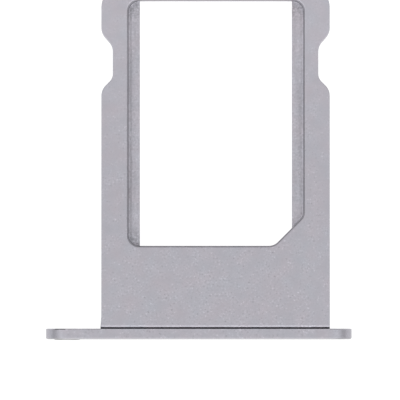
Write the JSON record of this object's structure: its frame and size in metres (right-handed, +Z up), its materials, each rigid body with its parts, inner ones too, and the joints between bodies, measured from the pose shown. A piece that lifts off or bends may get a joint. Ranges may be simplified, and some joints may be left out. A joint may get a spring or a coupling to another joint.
{
  "type": "sim card tray",
  "caption": "Flat card tray with a slot-shaped face plate, an eject hole, a keyed card pocket with side ledges and a catch notch in each long side.",
  "frame": {"origin": "centre of the bottom of the tray's bounding box, below the middle of the tray", "axes": "+X along the face plate, with the eject hole on the -X side; +Y from the face plate to the far end; +Z up, out of the card pocket's mouth"},
  "size_m": [0.0156, 0.018, 0.0022],
  "materials": {
    "anodised_aluminium": "fine bead-blasted, grey anodised"
  },
  "bodies": {
    "root": {"sim_card_tray": "anodised_aluminium"}
  },
  "joints": []
}
